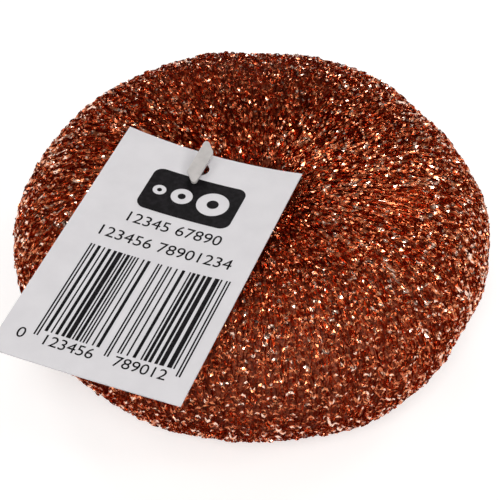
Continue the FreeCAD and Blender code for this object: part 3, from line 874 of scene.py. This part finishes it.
def add_plate(left, low, right, high):
    """A flat rectangle between two corners."""
    bpy.ops.object.select_all(action="DESELECT")
    bpy.ops.mesh.primitive_plane_add(size=1, location=((left + right) / 2, (low + high) / 2, 0))
    plate = bpy.context.object
    plate.scale = (right - left, high - low, 1)
    bpy.ops.object.transform_apply(location=True, rotation=True, scale=True)
    return plate


print("the card is turned by", round(math.degrees(TAG_TURN), 1), "degrees")

# %% Draw the header
HEADER = ((-10.2 * MM, -21.4 * MM), (11.2 * MM, -8.4 * MM))
HEADER_ROUND = 2.2 * MM
ROUND_STEPS = 8
RINGS = ((-7.0 * MM, 1.5 * MM), (-1.8 * MM, 2.4 * MM), (5.4 * MM, 3.6 * MM))
RING_HOLE = 0.36
STRIP = 1.2 * MM


def header_plate():
    """The header's outline as a flat curve with round corners."""
    plate = add_plate(*HEADER[0], *HEADER[1])
    bpy.ops.object.mode_set(mode="EDIT")
    bpy.ops.mesh.select_all(action="SELECT")
    bpy.ops.mesh.bevel(offset=HEADER_ROUND, segments=ROUND_STEPS, affect="VERTICES")
    bpy.ops.mesh.delete(type="ONLY_FACE")
    bpy.ops.object.mode_set(mode="OBJECT")
    bpy.ops.object.convert(target="CURVE")
    return plate


def fill_header():
    """The plate with its rings left out, cut into narrow strips that can follow the card's bow."""
    plate = header_plate()
    middle = (HEADER[0][1] + HEADER[1][1]) / 2
    for x, radius in RINGS:
        for size in (radius, radius * RING_HOLE):
            bpy.ops.curve.primitive_bezier_circle_add(radius=size, location=(x, middle, 0))
    for piece in bpy.context.scene.objects:
        piece.select_set(piece.type == "CURVE")
    bpy.context.view_layer.objects.active = plate
    bpy.ops.object.join()
    plate.data.dimensions = "2D"
    plate.data.fill_mode = "BOTH"
    bpy.ops.object.convert(target="MESH")
    bpy.ops.object.mode_set(mode="EDIT")
    for x in np.arange(HEADER[0][0] + STRIP, HEADER[1][0], STRIP):
        bpy.ops.mesh.select_all(action="SELECT")
        bpy.ops.mesh.bisect(plane_co=(x, 0, 0), plane_no=(1, 0, 0))
    bpy.ops.object.mode_set(mode="OBJECT")
    return plate


header = fill_header()
keep_ink(header)
print("header faces:", len(header.data.polygons))

# %% Draw the numbers
ROW_SIZE = 4.2 * MM
DIGIT_SIZE = 3.8 * MM
# Each number's digits, the middle of its foot, its type size and its width.
NUMBERS = (
    ("12345 67890", 0.4 * MM, -26.4 * MM, ROW_SIZE, 26.4 * MM),
    ("123456 78901234", 0.9 * MM, -32.4 * MM, ROW_SIZE, 32.5 * MM),
    ("0", -16.0 * MM, -64.3 * MM, DIGIT_SIZE, 1.9 * MM),
    ("123456", -6.0 * MM, -64.3 * MM, DIGIT_SIZE, 14.6 * MM),
    ("789012", 9.5 * MM, -64.3 * MM, DIGIT_SIZE, 14.6 * MM),
)
for digits, x, y, size, width in NUMBERS:
    bpy.ops.object.select_all(action="DESELECT")
    bpy.ops.object.text_add(location=(x, y, 0))
    number = bpy.context.object
    number.data.body = digits
    number.data.size = size
    number.data.align_x = "CENTER"
    bpy.ops.object.convert(target="MESH")
    stretch = width / number.dimensions.x
    number.scale.x = stretch
    keep_ink(number)
    print(repr(digits), "stretched by", round(stretch, 2))

# %% Draw the stripes
CODE = ((-13.65 * MM, -60.95 * MM), (17.7 * MM, -35.5 * MM))
CODE_SEED = 5
MODULE = 0.33 * MM
GUARD_DROP = 1.6 * MM
GUARD_MODULES = 3
FIRST_GAP = 5 * MODULE
LAST_GAP = 6 * MODULE
STRIPE_MODULES = (1, 1, 2, 2, 3)
GAP_MODULES = (1, 1, 1, 2, 2, 3)
(code_left, code_low), (code_right, code_high) = CODE
code_middle = (code_left + code_right) / 2
code_random = np.random.default_rng(CODE_SEED)


def add_stripe(left, width, low):
    """One upright stripe of the code."""
    keep_ink(add_plate(left, low, left + width, code_high))


guards = (code_left, code_middle - GUARD_MODULES / 2 * MODULE, code_right - GUARD_MODULES * MODULE)
for place in guards:
    for step in (0, GUARD_MODULES - 1):
        add_stripe(place + step * MODULE, MODULE, code_low - GUARD_DROP)
for first, last in ((code_left, code_middle), (code_middle, code_right)):
    place = first + FIRST_GAP
    while place < last - LAST_GAP:
        width = MODULE * code_random.choice(STRIPE_MODULES)
        add_stripe(place, width, code_low)
        place += width + MODULE * code_random.choice(GAP_MODULES)
print("pieces of ink:", len(ink))

# %% Lay the ink on the card
INK_STOPS = ((0.40, (0.004, 0.0035, 0.0045, 1)), (0.75, (0.014, 0.012, 0.015, 1)))
INK_COVER = 900.0
INK_DETAIL = 3.0
INK_ROUGH = 0.60
INK_GLOSS = 0.08
INK_THICK = 0.03 * MM


def ink_material():
    """Black printing ink, a little uneven."""
    material, tree, shader, place = principled("black_ink")
    tint(tree, shader, noise(tree, place, INK_COVER, INK_DETAIL), INK_STOPS)
    shader.inputs["Roughness"].default_value = INK_ROUGH
    shader.inputs["Specular IOR Level"].default_value = INK_GLOSS
    return material


bpy.ops.object.select_all(action="DESELECT")
for piece in ink:
    piece.select_set(True)
bpy.context.view_layer.objects.active = header
bpy.ops.object.join()
header.name = "tag_print"
drop = header.modifiers.new("Drop", "SHRINKWRAP")
drop.target = frame["nodes"]["swing_tag"]
drop.wrap_method = "PROJECT"
drop.use_project_z = True
drop.use_positive_direction = False
drop.use_negative_direction = True
drop.offset = INK_THICK / 2
bpy.ops.object.modifier_apply(modifier=drop.name)
thicken = header.modifiers.new("Thicken", "SOLIDIFY")
thicken.thickness = INK_THICK
thicken.offset = 1
bpy.ops.object.modifier_apply(modifier=thicken.name)
put_on(header, "tag", ink_material())
print("print faces:", len(header.data.polygons))

# %% [markdown]
# The tag pin.
# A tag pin is moulded from nylon in one shot: a cross bar that stays under the mesh, a thin filament, and
# a flat paddle that keeps the card on. The cross bar and the paddle only need the nylon. The real
# filament bends where the tag turns and lifts; here it is made once, in an S from the pin up to the card.
# A bevelled curve would do, but it is made as by hand: a circle, drawn up, spun one way and back again.

# %% Mix the nylon
NYLON_STOPS = ((0.35, (0.51, 0.495, 0.49, 1)), (0.65, (0.58, 0.56, 0.555, 1)))
NYLON_CLOUDS = 600.0
NYLON_ROUGH = 0.38
NYLON_GLOW = 0.25
NYLON_REACH = 0.6 * MM


def nylon_material():
    """Cloudy white nylon that lets some light through."""
    material, tree, shader, place = principled("cloudy_nylon")
    tint(tree, shader, noise(tree, place, NYLON_CLOUDS), NYLON_STOPS)
    shader.inputs["Roughness"].default_value = NYLON_ROUGH
    shader.inputs["Subsurface Weight"].default_value = NYLON_GLOW
    shader.inputs["Subsurface Radius"].default_value = (1.0, 1.0, 1.0)
    shader.inputs["Subsurface Scale"].default_value = NYLON_REACH
    return material


nylon = nylon_material()
dress("pin_crossbar", nylon)
dress("pin_paddle", nylon)
dress("centre_tie", copper)

# %% Mould the filament
FILAMENT_R = 0.35 * MM
FILAMENT_SIDES = 12
FILAMENT_FOOT = Vector((-10.0 * MM, 0, 35.91 * MM))
FILAMENT_TOP = Vector((-11.1 * MM, 0, 41.45 * MM))
FILAMENT_STRAIGHT = 0.6 * MM
FILAMENT_LEAN = FILAMENT_FOOT.x - FILAMENT_TOP.x
FILAMENT_CLIMB = FILAMENT_TOP.z - FILAMENT_FOOT.z - 2 * FILAMENT_STRAIGHT
FILAMENT_TURN = 2 * math.atan2(FILAMENT_LEAN, FILAMENT_CLIMB)
FILAMENT_BEND = FILAMENT_CLIMB / 2 / math.sin(FILAMENT_TURN)
BEND_STEPS = 10
SMOOTH_BELOW = math.radians(40)


def pull_up(length):
    """Extrude the selected ring of edges straight up."""
    bpy.ops.mesh.extrude_region_move(TRANSFORM_OT_translate={"value": (0, 0, length)})


def bend(axis, centre):
    """Spin the selected ring of edges through half of the filament's S."""
    bpy.ops.mesh.spin(steps=BEND_STEPS, angle=FILAMENT_TURN, axis=axis, center=centre)


bpy.ops.object.select_all(action="DESELECT")
bpy.ops.mesh.primitive_circle_add(vertices=FILAMENT_SIDES, radius=FILAMENT_R, location=FILAMENT_FOOT)
filament = bpy.context.object
filament.name = "filament"
bpy.ops.object.transform_apply(location=True, rotation=True, scale=True)
bend_foot = FILAMENT_FOOT + Vector((0, 0, FILAMENT_STRAIGHT))
bend_top = FILAMENT_TOP - Vector((0, 0, FILAMENT_STRAIGHT))
bpy.ops.object.mode_set(mode="EDIT")
bpy.ops.mesh.select_all(action="SELECT")
pull_up(FILAMENT_STRAIGHT)
bend((0, 1, 0), bend_foot - Vector((FILAMENT_BEND, 0, 0)))
bend((0, -1, 0), bend_top + Vector((FILAMENT_BEND, 0, 0)))
pull_up(FILAMENT_STRAIGHT)
bpy.ops.mesh.select_all(action="SELECT")
bpy.ops.mesh.fill_holes(sides=0)
bpy.ops.mesh.normals_make_consistent(inside=False)
bpy.ops.object.mode_set(mode="OBJECT")
bpy.ops.object.shade_smooth_by_angle(angle=SMOOTH_BELOW)
filament.data.materials.append(nylon)
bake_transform(filament)
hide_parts("pin_filament")
filament_high = max(vertex.co.z for vertex in filament.data.vertices)
print("the filament ends at", round(filament_high / MM, 2), "mm")
